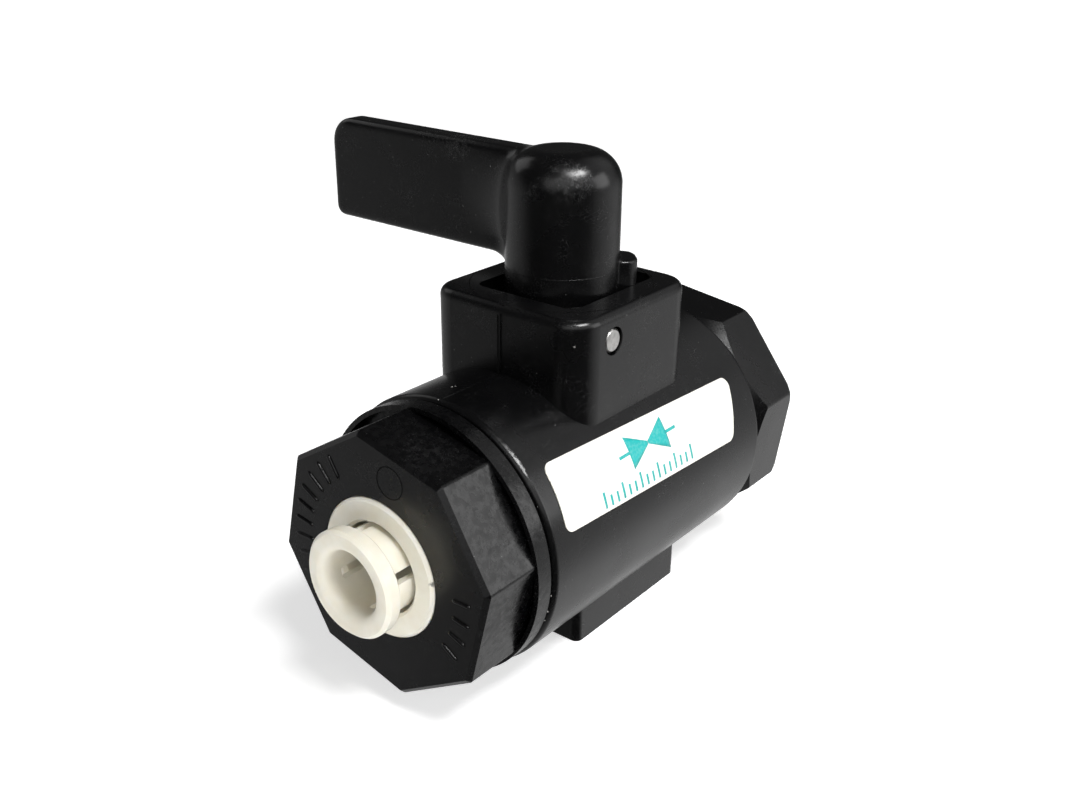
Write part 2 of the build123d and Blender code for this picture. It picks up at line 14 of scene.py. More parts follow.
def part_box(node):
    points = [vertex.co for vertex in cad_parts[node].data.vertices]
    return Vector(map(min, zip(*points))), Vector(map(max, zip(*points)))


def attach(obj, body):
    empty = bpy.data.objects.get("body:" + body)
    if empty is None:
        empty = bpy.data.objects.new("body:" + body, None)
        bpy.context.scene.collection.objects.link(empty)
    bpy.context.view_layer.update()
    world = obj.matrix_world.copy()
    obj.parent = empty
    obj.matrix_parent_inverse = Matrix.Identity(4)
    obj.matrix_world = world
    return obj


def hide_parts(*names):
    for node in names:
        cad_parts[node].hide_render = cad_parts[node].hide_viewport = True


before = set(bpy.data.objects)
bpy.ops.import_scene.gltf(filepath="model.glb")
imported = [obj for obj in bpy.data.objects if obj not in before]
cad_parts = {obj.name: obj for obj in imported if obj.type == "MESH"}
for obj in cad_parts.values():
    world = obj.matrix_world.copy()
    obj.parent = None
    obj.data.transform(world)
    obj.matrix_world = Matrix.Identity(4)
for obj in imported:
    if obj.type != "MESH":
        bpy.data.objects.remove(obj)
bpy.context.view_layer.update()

bl_info = {
    "name": "Push-in ball valve",
    "version": (1, 0, 0),
    "blender": (4, 5, 0),
    "location": "View3D > Sidebar > Valve",
    "description": "Finishes, mould marks, print and studio for a small push-in ball valve",
    "category": "Object",
}

MM = 0.001


def corner(node, high):
    """One corner of a CAD node in millimetres."""
    return np.array(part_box(node)[1 if high else 0]) / MM


BODY_LOW = corner("valve_body", False)
BODY_HIGH = corner("valve_body", True)
CAP_LOW = corner("end_cap", False)
FLOW_HEIGHT = (corner("cartridge_front", False)[2] + corner("cartridge_front", True)[2]) / 2
BARREL_RADIUS = BODY_HIGH[1]
BARREL_FRONT = BODY_LOW[0]
BOSS_LEVEL = BODY_HIGH[2]            # height of the boss's top
CAP_FACE = CAP_LOW[0]
LABEL_THICKNESS = 0.11
LABEL_RADIUS = BARREL_RADIUS + LABEL_THICKNESS


class ValveFinish(bpy.types.PropertyGroup):
    """Colours and surface of the valve's materials."""

    black_color: bpy.props.FloatVectorProperty(
        name="Black plastic", description="Colour of the body, cap and lever", subtype="COLOR", size=4,
        default=(0.0022, 0.0022, 0.0024, 1.0), min=0, max=1)
    worn_color: bpy.props.FloatVectorProperty(
        name="Worn plastic", description="Colour in the scratches and scuffs", subtype="COLOR", size=4,
        default=(0.2, 0.2, 0.2, 1.0), min=0, max=1)
    black_roughness: bpy.props.FloatProperty(
        name="Black roughness", description="Roughness of the moulded surface", subtype="FACTOR",
        default=0.25, min=0, max=1)
    white_color: bpy.props.FloatVectorProperty(
        name="White plastic", description="Colour of the collets and their rings", subtype="COLOR", size=4,
        default=(0.86, 0.83, 0.735, 1.0), min=0, max=1)
    label_color: bpy.props.FloatVectorProperty(
        name="Label", description="Colour of the sticker", subtype="COLOR", size=4,
        default=(0.88, 0.86, 0.79, 1.0), min=0, max=1)
    print_color: bpy.props.FloatVectorProperty(
        name="Print", description="Colour of the marks on the sticker", subtype="COLOR", size=4,
        default=(0.0, 0.4, 0.39, 1.0), min=0, max=1)


class ValveMarks(bpy.types.PropertyGroup):
    """Sizes of the mould marks."""

    seam_width: bpy.props.FloatProperty(
        name="Seam width", description="Width of the mould's parting line", subtype="DISTANCE",
        default=0.00011, min=0.00001, max=0.001, precision=5)
    seam_height: bpy.props.FloatProperty(
        name="Seam height", description="How far the parting line stands out", subtype="DISTANCE",
        default=0.00003, min=0.000005, max=0.0005, precision=6)
    tick_height: bpy.props.FloatProperty(
        name="Rib height", description="How far the small ribs stand out of the cap's face",
        subtype="DISTANCE", default=0.00018, min=0.00005, max=0.001, precision=5)


class ValveStage(bpy.types.PropertyGroup):
    """Floor, lights and camera."""

    floor_color: bpy.props.FloatVectorProperty(
        name="Floor", description="Colour of the floor", subtype="COLOR", size=4,
        default=(0.86, 0.86, 0.86, 1.0), min=0, max=1)
    sky_strength: bpy.props.FloatProperty(
        name="Room light", description="Strength of the even light of the room", default=0.03, min=0, max=10)
    key_radiance: bpy.props.FloatProperty(
        name="Key light", description="Brightness that the lamps' shares are counted from",
        default=1.9, min=0, max=100)
    floor_glow: bpy.props.FloatProperty(
        name="Floor glow", description="Light that the floor gives off itself", default=0.7, min=0, max=10)
    lens: bpy.props.FloatProperty(
        name="Lens", description="Focal length of the camera in millimetres", default=39.29, min=10, max=200)


LINE_BAND = 0.012           # how far a noise may be from its middle value where a scratch shows
SPECK_CORE = 0.6            # share of a speck's radius within which it is full


class Graph:
    """Nodes of one material, or of the room's light."""

    def __init__(self, owner, space="Object"):
        self.owner = owner
        owner.use_nodes = True
        self.tree = owner.node_tree
        self.tree.nodes.clear()
        self.coords = self.add("ShaderNodeTexCoord", {}).outputs[space]

    def add(self, kind, inputs, **settings):
        """A node with its settings, and its inputs linked or set."""
        node = self.tree.nodes.new(kind)
        for key, value in settings.items():
            setattr(node, key, value)
        for socket, value in inputs.items():
            if isinstance(value, bpy.types.NodeSocket):
                self.tree.links.new(value, node.inputs[socket])
            else:
                node.inputs[socket].default_value = value
        return node

    def noise(self, size, detail=2.0, vector=None):
        """Noise with features of about this size in millimetres."""
        inputs = {"Vector": vector or self.coords, "Scale": 1 / (size * MM), "Detail": detail}
        return self.add("ShaderNodeTexNoise", inputs).outputs["Fac"]

    def math(self, operation, first, second=0.0, clamp=False):
        """One arithmetic step."""
        inputs = {0: first, 1: second}
        return self.add("ShaderNodeMath", inputs, operation=operation, use_clamp=clamp).outputs[0]

    def remap(self, value, low, high, to_low=0.0, to_high=1.0):
        """Value from low..high taken to to_low..to_high, held at both ends."""
        inputs = {"Value": value, "From Min": low, "From Max": high, "To Min": to_low, "To Max": to_high}
        return self.add("ShaderNodeMapRange", inputs).outputs["Result"]

    def blend(self, factor, first, second):
        """Colour between two colours."""
        return self.add("ShaderNodeMix", {0: factor, 6: first, 7: second}, data_type="RGBA").outputs[2]

    def spot(self, centre, inner, outer):
        """One within inner millimetres of a point, falling to nothing at outer."""
        place = [c * MM for c in centre]
        distance = self.add("ShaderNodeVectorMath", {0: self.coords, 1: place}, operation="DISTANCE")
        return self.remap(distance.outputs["Value"], inner * MM, outer * MM, 1.0, 0.0)

    def lines(self, turn, length, width, amount):
        """Fine scratches: noise drawn out along one direction, of which only a narrow band shows."""
        inputs = {"Vector": self.coords, "Rotation": [math.radians(t) for t in turn],
                  "Scale": (length, width, width)}
        drawn = self.add("ShaderNodeMapping", inputs, vector_type="TEXTURE").outputs["Vector"]
        ridge = self.math("ABSOLUTE", self.math("SUBTRACT", self.noise(1.0, 0.0, drawn), 0.5))
        return self.remap(ridge, 0.0, LINE_BAND, amount, 0.0)

    def scratches(self, kinds):
        """Fine scratches of several kinds, each given by what lines takes."""
        total = 0.0
        for kind in kinds:
            total = self.math("MAXIMUM", total, self.lines(*kind))
        return total

    def patches(self, size, detail, low, high, to_low=0.0, to_high=1.0):
        """Soft patches: a noise whose values from low to high are taken to to_low..to_high."""
        return self.remap(self.noise(size, detail), low, high, to_low, to_high)

    def at(self, places, share):
        """The share near the given places, each a point, an inner and an outer radius and an amount."""
        total = 0.0
        for point, inner, outer, amount in places:
            here = self.math("MULTIPLY", self.spot(point, inner, outer), amount)
            total = self.math("MAXIMUM", total, here)
        return self.math("MULTIPLY", total, share)

    def window(self, azimuth, elevation, inner, outer, strength):
        """Light from directions within inner degrees of one direction, falling to nothing at outer."""
        turn, lift = math.radians(azimuth), math.radians(elevation)
        centre = (math.cos(turn) * math.cos(lift), math.sin(turn) * math.cos(lift), math.sin(lift))
        facing = self.add("ShaderNodeVectorMath", {0: self.coords, 1: centre}, operation="DOT_PRODUCT")
        low, high = math.cos(math.radians(outer)), math.cos(math.radians(inner))
        return self.remap(facing.outputs["Value"], low, high, 0.0, strength)

    def specks(self, spacing, radius, share):
        """Dust: small round dots in some of the cells of a cell pattern."""
        cells = self.add("ShaderNodeTexVoronoi", {"Vector": self.coords, "Scale": 1 / (spacing * MM)})
        dot = self.remap(cells.outputs["Distance"], SPECK_CORE * radius / spacing, radius / spacing, 1.0, 0.0)
        chosen = self.add("ShaderNodeSeparateColor", {"Color": cells.outputs["Color"]}).outputs[0]
        return self.math("MULTIPLY", dot, self.math("LESS_THAN", chosen, share))

    def bump(self, height, distance):
        """Surface normal from a height, whose unit is a distance in millimetres."""
        inputs = {"Height": height, "Distance": distance * MM, "Strength": 1.0}
        return self.add("ShaderNodeBump", inputs).outputs["Normal"]

    def finish(self, **inputs):
        """The shader and the material's output."""
        shader = self.add("ShaderNodeBsdfPrincipled", {k.replace("_", " "): v for k, v in inputs.items()})
        self.add("ShaderNodeOutputMaterial", {"Surface": shader.outputs["BSDF"]})
        return self.owner


def new_graph(name):
    """Graph of a new material."""
    return Graph(bpy.data.materials.new(name))


GRAIN_SIZE = 0.22                   # sizes of the black plastic's features, in millimetres
DAPPLE_SIZE = 0.65                  # the mottle
DAPPLE_DETAIL = 6.0
MOTTLE_FAINT = 0.2                  # amount of the mottle in front of its start
MOTTLE_RISE = 0.5                   # length over which it grows to its full amount
LONG_SCRATCHES = (                  # turn in degrees, length and width of the grain, and amount
    ((12, 34, 20), 12, 0.45, 1.0),
    ((80, -25, -30), 8, 0.4, 0.8))
LONG_BREAKS = (2.6, 2.0, 0.5, 0.68)         # size, detail and range of the noise that breaks them up
LONG_SHARE = 0.12                   # how much of the worn colour they show
SHORT_SCRATCHES = (
    ((20, 15, 60), 4.0, 0.12, 1.0),
    ((-35, 70, -20), 3.0, 0.1, 1.0),
    ((60, -40, 15), 3.5, 0.09, 1.0))
SHORT_BREAKS = (0.5, 3.0, 0.42, 0.62)
BLACK_DUST = ((0.9, 0.045, 0.25), (2.4, 0.07, 0.2))     # spacing, radius and share of the specks
DUST_COVER = 0.55
DUST_COLOR = (0.4, 0.4, 0.39, 1.0)
NOISE_SPAN = (0.3, 0.7)             # range in which most values of a noise lie
SHEEN = (6.0, 2.0, *NOISE_SPAN)     # size, detail and range of the broad patches of more and of less gloss
SHEEN_LOW = -0.03                   # roughness that they take away and add
SHEEN_HIGH = 0.05
DAPPLE_ROUGHNESS = 0.2
WORN_ROUGHNESS = 0.4
BLACK_RELIEF = 0.012                # the next heights are shares of this one
GRAIN_HEIGHT = 0.3
WORN_DEPTH = 1.2
WRINKLE_SIZE = 0.3
WRINKLE_HEIGHT = 6.0


def black_plastic(name, scuffs=(), wrinkles=(), mottle=0.25, mottle_from=None):
    """Satin black moulded plastic: fine grain, a glossy mottle, long scratches and dust all over, short
    crossed scratches at the scuffs, and a crumpled skin at the wrinkles.

    Each scuff or wrinkle is a place, an inner and an outer radius, and an amount. The mottle may start at a
    station along X, and is faint in front of it.
    """
    finish = bpy.context.scene.valve_finish
    g = new_graph(name)
    if mottle_from is not None:
        station = g.add("ShaderNodeSeparateXYZ", {"Vector": g.coords}).outputs["X"]
        mottle = g.remap(station, mottle_from * MM, (mottle_from + MOTTLE_RISE) * MM, MOTTLE_FAINT, mottle)
    dapple = g.math("MULTIPLY", g.math("SUBTRACT", g.noise(DAPPLE_SIZE, DAPPLE_DETAIL), 0.5), mottle)
    long_ones = g.math("MULTIPLY", g.scratches(LONG_SCRATCHES), g.patches(*LONG_BREAKS))
    worn = g.math("MULTIPLY", long_ones, LONG_SHARE)
    if scuffs:
        short_ones = g.math("MULTIPLY", g.scratches(SHORT_SCRATCHES), g.patches(*SHORT_BREAKS))
        worn = g.math("MAXIMUM", worn, g.at(scuffs, short_ones))
    dust = g.math("MAXIMUM", *(g.specks(*specks) for specks in BLACK_DUST))
    color = g.blend(worn, finish.black_color, finish.worn_color)
    color = g.blend(g.math("MULTIPLY", dust, DUST_COVER), color, DUST_COLOR)
    rough = g.patches(*SHEEN, finish.black_roughness + SHEEN_LOW, finish.black_roughness + SHEEN_HIGH)
    rough = g.math("ADD", rough, g.math("MULTIPLY", dapple, DAPPLE_ROUGHNESS))
    rough = g.math("ADD", rough, g.math("MULTIPLY", worn, WORN_ROUGHNESS), clamp=True)
    height = g.math("ADD", g.math("MULTIPLY", g.noise(GRAIN_SIZE), GRAIN_HEIGHT), dapple)
    height = g.math("SUBTRACT", height, g.math("MULTIPLY", worn, WORN_DEPTH))
    if wrinkles:
        crumple = g.math("MULTIPLY", g.noise(WRINKLE_SIZE), WRINKLE_HEIGHT)
        height = g.math("ADD", height, g.at(wrinkles, crumple))
    return g.finish(Base_Color=color, Roughness=rough, Normal=g.bump(height, BLACK_RELIEF))


WHITE_SHADE = (0.95, 0.935, 0.9)    # the mottle's darker colour as a share of the white
WHITE_MOTTLE = (2.0, 3.0)           # size and detail
WHITE_MOTTLE_SPAN = (0.35, 0.7)     # values of the mottle over which it darkens
WHITE_SPECKS = (1.1, 0.04, 0.2)
WHITE_SPECK_COVER = 0.5
WHITE_SPECK_COLOR = (0.2, 0.17, 0.13, 1.0)
NICK_BREAKS = (0.35, 3.0, 0.42, 0.55)
NICK_COLOR = (0.05, 0.045, 0.035, 1.0)
WHITE_ROUGHNESS = (0.3, 0.38)
WHITE_GRAIN = 0.3
WHITE_RELIEF = 0.003
TRANSLUCENCY = 0.3
WHITE_DEPTH = (1.2, 1.05, 0.8)      # how far red, green and blue light runs inside, in millimetres


def white_plastic(name, nicks=()):
    """Warm white moulded plastic, a little translucent, with a faint mottle, a few dark specks, and dark
    nicks at given places."""
    finish = bpy.context.scene.valve_finish
    g = new_graph(name)
    mottle = g.noise(*WHITE_MOTTLE)
    base = tuple(finish.white_color)
    color = g.blend(g.remap(mottle, *WHITE_MOTTLE_SPAN), base, darker(base, WHITE_SHADE))
    color = g.blend(g.math("MULTIPLY", g.specks(*WHITE_SPECKS), WHITE_SPECK_COVER), color, WHITE_SPECK_COLOR)
    if nicks:
        color = g.blend(g.at(nicks, g.patches(*NICK_BREAKS)), color, NICK_COLOR)
    return g.finish(Base_Color=color, Roughness=g.remap(mottle, *NOISE_SPAN, *WHITE_ROUGHNESS),
                    Normal=g.bump(g.noise(WHITE_GRAIN), WHITE_RELIEF),
                    Subsurface_Weight=TRANSLUCENCY, Subsurface_Scale=MM, Subsurface_Radius=WHITE_DEPTH)


def darker(color, shares):
    """Opaque colour whose red, green and blue are these shares of another's."""
    return tuple(c * share for c, share in zip(color, shares)) + (1.0,)


STEEL_LINES = ((0, 0, 0), 3.0, 0.08, 1.0)
STEEL_RELIEF = 0.002
STAIN = (0.8, 4.0)                  # size and detail
STAIN_SPAN = (0.4, 0.75)
STAIN_SMOOTH = 0.05                 # roughness that it takes away and adds
STAIN_DULL = 0.12
STAIN_SHADE = (0.6, 0.6, 0.6)


def steel(name, color, roughness):
    """Bright steel with fine drawn lines."""
    g = new_graph(name)
    stain = g.noise(*STAIN)
    shade = g.blend(g.remap(stain, *STAIN_SPAN), color, darker(color, STAIN_SHADE))
    rough = g.remap(stain, *NOISE_SPAN, roughness - STAIN_SMOOTH, roughness + STAIN_DULL)
    return g.finish(Base_Color=shade, Metallic=1.0, Roughness=rough,
                    Normal=g.bump(g.lines(*STEEL_LINES), STEEL_RELIEF))


BALL_COLORS = ((0.02, 0.02, 0.021, 1.0), (0.032, 0.032, 0.034, 1.0))
BALL_MOTTLE = 1.0
BALL_ROUGHNESS = 0.16
BALL_RELIEF = 0.001
BALL_TURNING = {"Scale": 700.0, "Distortion": 0.4}      # scale of the marks, and how much they waver


def ball_plastic(name):
    """Polished dark ball, with faint turning marks round the stem axis."""
    g = new_graph(name)
    turned = g.add("ShaderNodeTexWave", {"Vector": g.coords, **BALL_TURNING},
                   wave_type="BANDS", bands_direction="Z").outputs["Fac"]
    color = g.blend(g.noise(BALL_MOTTLE), *BALL_COLORS)
    return g.finish(Base_Color=color, Roughness=BALL_ROUGHNESS, Normal=g.bump(turned, BALL_RELIEF))


LABEL_SOIL = (3.0, 4.0, 0.55, 0.8)
LABEL_SOIL_COLOR = (0.7, 0.67, 0.58, 1.0)
LABEL_SPECKS = (1.6, 0.06, 0.2)
LABEL_SPECK_COLOR = (0.25, 0.23, 0.2, 1.0)
LABEL_SOIL_COVER = 0.25
LABEL_SPECK_COVER = 0.5
LABEL_ROUGHNESS = 0.4
LABEL_WAVES = (1.2, 3.0)            # size and detail of its unevenness
LABEL_RELIEF = 0.006


def label_film(name):
    """Coated white sticker, a little soiled."""
    finish = bpy.context.scene.valve_finish
    g = new_graph(name)
    soil = g.math("MULTIPLY", g.patches(*LABEL_SOIL), LABEL_SOIL_COVER)
    color = g.blend(soil, finish.label_color, LABEL_SOIL_COLOR)
    color = g.blend(g.math("MULTIPLY", g.specks(*LABEL_SPECKS), LABEL_SPECK_COVER), color, LABEL_SPECK_COLOR)
    return g.finish(Base_Color=color, Roughness=LABEL_ROUGHNESS,
                    Normal=g.bump(g.noise(*LABEL_WAVES), LABEL_RELIEF))


THIN_INK = (0.3, 3.0, 0.45, 0.75)
THIN_INK_COLOR = (0.1, 0.46, 0.44, 1.0)
INK_ROUGHNESS = 0.42


def print_ink(name):
    """Teal ink, thin enough for the sticker to show a little."""
    finish = bpy.context.scene.valve_finish
    g = new_graph(name)
    color = g.blend(g.patches(*THIN_INK), finish.print_color, THIN_INK_COLOR)
    return g.finish(Base_Color=color, Roughness=INK_ROUGHNESS)


PLAIN_MATERIALS = {         # two colours, size of the noise between them, roughness, specular, relief
    "seal_rubber": ((0.006, 0.006, 0.006, 1.0), (0.013, 0.013, 0.013, 1.0), 0.15, 0.6, 0.5, 0.006),
    "seat_white": ((0.8, 0.8, 0.77, 1.0), (0.72, 0.72, 0.69, 1.0), 1.5, 0.42, 0.5, 0.0),
    "seam_black": ((0.001, 0.001, 0.001, 1.0), (0.004, 0.004, 0.004, 1.0), 0.3, 0.85, 0.1, 0.0),
    "dirt_pale": ((0.12, 0.115, 0.11, 1.0), (0.45, 0.44, 0.42, 1.0), 0.4, 0.85, 0.5, 0.0)}


def plain_material(name):
    """Material that wavers between two colours, with the same noise as its relief."""
    first, second, size, roughness, specular, relief = PLAIN_MATERIALS[name]
    g = new_graph(name)
    mottle = g.noise(size)
    inputs = {"Normal": g.bump(mottle, relief)} if relief else {}
    return g.finish(Base_Color=g.blend(mottle, first, second), Roughness=roughness,
                    Specular_IOR_Level=specular, **inputs)


FLOOR_FADE = (0.3, 0.65)    # metres from the valve between which the floor's own light grows
FAR_GLOW = 1.2
FLOOR_SHADE = (0.985, 0.985, 0.985)
FLOOR_MOTTLE = 40.0
FLOOR_ROUGHNESS = 0.75


def floor_material(name):
    """Even pale floor. It gives off a little light of its own, more far away, where the lamps don't reach."""
    g = new_graph(name)
    stage = bpy.context.scene.valve_stage
    base = tuple(stage.floor_color)
    distance = g.add("ShaderNodeVectorMath", {0: g.coords}, operation="LENGTH").outputs["Value"]
    glow = g.remap(distance, *FLOOR_FADE, stage.floor_glow, FAR_GLOW)
    color = g.blend(g.noise(FLOOR_MOTTLE), base, darker(base, FLOOR_SHADE))
    return g.finish(Base_Color=color, Roughness=FLOOR_ROUGHNESS, Emission_Color=base, Emission_Strength=glow)


def dress(material, *nodes):
    """Gives CAD nodes their material."""
    for node in nodes:
        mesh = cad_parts[node].data
        mesh.materials.clear()
        mesh.materials.append(material)


def grid_faces(rows, columns, offset=0):
    """Quads of a grid whose rows are closed loops of points."""
    row = np.arange(rows - 1)[:, None] * columns
    column = np.arange(columns)[None, :]
    following = (column + 1) % columns
    quads = np.stack([row + column, row + following, row + columns + following, row + columns + column], -1)
    return quads.reshape(-1, 4) + offset


def loops_mesh(name, pieces, material, body, ring=False):
    """One object of several skins. Each is an array (rows, columns, 3) in millimetres of closed loops of
    points carried along a path; its ends are closed with flat faces, or joined to each other where ring is
    true."""
    points = []
    faces = []
    offset = 0
    for skin in pieces:
        rows, columns = skin.shape[:2]
        if ring:
            quads = grid_faces(rows + 1, columns) % (rows * columns)
            faces += (quads + offset).tolist()
        else:
            faces += grid_faces(rows, columns, offset).tolist()
            faces.append((offset + np.arange(columns)[::-1]).tolist())
            faces.append((offset + (rows - 1) * columns + np.arange(columns)).tolist())
        points.append(skin.reshape(-1, 3))
        offset += rows * columns
    mesh = bpy.data.meshes.new(name)
    mesh.from_pydata((np.concatenate(points) * MM).tolist(), [], faces)
    mesh.update()
    mesh.shade_smooth()
    mesh.materials.append(material)
    thing = bpy.data.objects.new(name, mesh)
    bpy.context.scene.collection.objects.link(thing)
    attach(thing, body)
    return thing


RIDGE_COLUMNS = 8           # points round a ridge's section
TAPER_SHARE = 0.98          # less than one, so that the end of a tapered ridge keeps a small face


def ridge(path, outward, width, height, taper=0.0):
    """Low half-round ridge along a path on a surface: at each point an ellipse of this width and height,
    spanned by the outward direction and the direction across the path. Where taper is given, its size is
    multiplied by the root of one minus TAPER_SHARE times t to the power taper, with t running from -1 to 1
    and taken without its sign, which rounds its ends."""
    along = np.gradient(path, axis=0)
    along = along / np.linalg.norm(along, axis=1, keepdims=True)
    across = np.cross(outward, along)
    across = across / np.linalg.norm(across, axis=1, keepdims=True)
    angle = np.linspace(0, 2 * np.pi, RIDGE_COLUMNS, endpoint=False)
    share = np.ones(len(path))
    if taper:
        share = np.sqrt(1 - TAPER_SHARE * np.abs(np.linspace(-1, 1, len(path))) ** taper)
    side = share[:, None, None] * (width / 2 * np.cos(angle))[None, :, None]
    up = share[:, None, None] * (height * np.sin(angle))[None, :, None]
    return path[:, None] + across[:, None] * side + outward[:, None] * up


def straight_path(start, end, count):
    """Points along a straight line."""
    share = np.linspace(0, 1, count)[:, None]
    return np.array(start) * (1 - share) + np.array(end) * share


CRUMB_ROWS = 6
CRUMB_COLUMNS = 8
CRUMB_POLE = 0.98           # height of its last rings as a share of its radius
CRUMB_FACTORS = (0.7, 1.3)


def crumb(centre, size, squash, rng):
    """Small lump: a ball whose rings of points lie on circles of latitude, each point's distance from the
    centre multiplied by a random factor in a range, flattened along three axes by the squash factors."""
    height = np.linspace(-CRUMB_POLE, CRUMB_POLE, CRUMB_ROWS)[:, None]
    turn = np.linspace(0, 2 * np.pi, CRUMB_COLUMNS, endpoint=False)[None, :]
    ring = np.sqrt(1 - height ** 2)
    ball = np.stack([ring * np.cos(turn), ring * np.sin(turn), height + 0 * turn], -1)
    ball = ball * rng.uniform(*CRUMB_FACTORS, (CRUMB_ROWS, CRUMB_COLUMNS, 1))
    return np.array(centre) + size * ball * np.array(squash)


def circle_path(centre, first, second, radius, count, start=0.0, end=360.0):
    """Points of a circle or an arc about a centre in the plane of two directions."""
    angle = np.radians(np.linspace(start, end, count, endpoint=end - start < 360))[:, None]
    return centre + radius * (np.cos(angle) * first + np.sin(angle) * second)


X = np.array([1.0, 0.0, 0.0])
Y = np.array([0.0, 1.0, 0.0])
Z = np.array([0.0, 0.0, 1.0])


def on_barrel(along, arc, radius):
    """Point of the barrel's near side: station along the flow and distance up along the round, with arc 0
    level with the flow axis. The angle is the arc over the radius."""
    angle = arc / radius
    return np.stack([along, -radius * np.cos(angle), FLOW_HEIGHT + radius * np.sin(angle)], -1)


INK_OUTER = 0.012           # how far the ink's faces lie above and below the sticker's
INK_INNER = 0.01


def print_patch(left, right, bottom, top, rows=12, columns=6):
    """Thin closed film on the sticker between two stations. Bottom and top are its edges' heights at both
    ends, and each row is a flat loop: up along its outer face and back down along its inner one."""
    share = np.linspace(0, 1, rows)
    along = left + (right - left) * share
    low = bottom[0] + (bottom[1] - bottom[0]) * share
    high = top[0] + (top[1] - top[0]) * share
    step = np.linspace(0, 1, columns)
    arc = low[:, None] + (high - low)[:, None] * step
    station = np.broadcast_to(along[:, None], arc.shape)
    outer = on_barrel(station, arc, LABEL_RADIUS + INK_OUTER)
    inner = on_barrel(station, arc, LABEL_RADIUS - INK_INNER)[:, ::-1]
    return np.concatenate([outer, inner], 1)


MERGE_DISTANCE = 0.00001            # points of the CAD lever's skin nearer than this are made one
LEVER_VOXEL = 0.16                  # grid that the lever's moulding is worked on
SMOOTH_STEPS = 3                    # even smoothing that takes the grid's steps away
SMOOTH_SHARE = 0.5
BLEND_STEPS = 1800                  # smoothing that fills the hollow at the blade's root
BLEND_STRENGTH = 0.9
NORMAL_STEPS = 25                   # steps for which the directions of the skin are kept
BLEND_MIDDLE = 5.5                  # the blend is full within BLEND_REACH of this distance from the stem axis
BLEND_REACH = 3.5
BLEND_FADE = 3.5
BLEND_LOW = 41.0                    # and above the underside's own round, between these two heights
BLEND_HIGH = 44.0


def ramp(value):
    """Smooth step: 3t squared less 2t cubed, with t held between 0 and 1."""
    t = np.clip(value, 0, 1)
    return t * t * (3 - 2 * t)


def neighbour_mean(points, edges, count):
    """Mean place of each point's neighbours."""
    total = np.empty_like(points)
    for axis in range(3):
        total[:, axis] = (np.bincount(edges[:, 0], points[edges[:, 1], axis], len(points))
                          + np.bincount(edges[:, 1], points[edges[:, 0], axis], len(points)))
    return total / count[:, None]


def skin_normals(mesh, points):
    """Directions of the skin at its points."""
    mesh.vertices.foreach_set("co", (points * MM).ravel())
    mesh.update()
    normals = np.empty(len(points) * 3, np.float32)
    mesh.vertex_normals.foreach_get("vector", normals)
    return normals.reshape(-1, 3).astype(float)


def blended_lever(material):
    """The lever with its blade flowing into the hub. The CAD lever's skin is laid on a fine grid. Then each
    point moves out along the skin's direction towards the mean of its neighbours, but never in, so that
    only hollows fill up, by a share that is one at the blade's root and falls to nothing around it."""
    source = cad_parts["handle_stem"]
    mesh = source.data.copy()
    shell = bmesh.new()
    shell.from_mesh(mesh)
    bmesh.ops.remove_doubles(shell, verts=shell.verts, dist=MERGE_DISTANCE * MM)
    shell.to_mesh(mesh)
    shell.free()
    draft = bpy.data.objects.new("lever_draft", mesh)
    bpy.context.scene.collection.objects.link(draft)
    remesh = draft.modifiers.new("grid", "REMESH")
    remesh.mode = "VOXEL"
    remesh.voxel_size = LEVER_VOXEL * MM
    skin = bpy.data.meshes.new_from_object(draft.evaluated_get(bpy.context.evaluated_depsgraph_get()))
    bpy.data.objects.remove(draft)
    points = np.empty(len(skin.vertices) * 3)
    skin.vertices.foreach_get("co", points)
    points = points.reshape(-1, 3) / MM
    edges = np.empty(len(skin.edges) * 2, np.int32)
    skin.edges.foreach_get("vertices", edges)
    edges = edges.reshape(-1, 2)
    count = np.bincount(edges.ravel(), minlength=len(points))
    for step in range(SMOOTH_STEPS):
        points = points + SMOOTH_SHARE * (neighbour_mean(points, edges, count) - points)
    near = 1 - ramp((np.abs(points[:, 1] - BLEND_MIDDLE) - BLEND_REACH) / BLEND_FADE)
    share = BLEND_STRENGTH * near * ramp((points[:, 2] - BLEND_LOW) / (BLEND_HIGH - BLEND_LOW))
    inside = share > 0
    used, local = np.unique(edges[inside[edges].any(1)], return_inverse=True)
    local = local.reshape(-1, 2)
    share, part = share[used], points[used]
    near_count = np.maximum(np.bincount(local.ravel(), minlength=len(used)), 1)
    for step in range(BLEND_STEPS):
        if step % NORMAL_STEPS == 0:
            points[used] = part
            outward = skin_normals(skin, points)[used]
        rise = np.sum((neighbour_mean(part, local, near_count) - part) * outward, 1)
        part = part + (share * np.maximum(rise, 0))[:, None] * outward
    points[used] = part
    skin_normals(skin, points)
    skin.shade_smooth()
    skin.materials.clear()
    skin.materials.append(material)
    lever = bpy.data.objects.new("lever_moulding", skin)
    bpy.context.scene.collection.objects.link(lever)
    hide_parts("handle_stem")
    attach(lever, "lever")


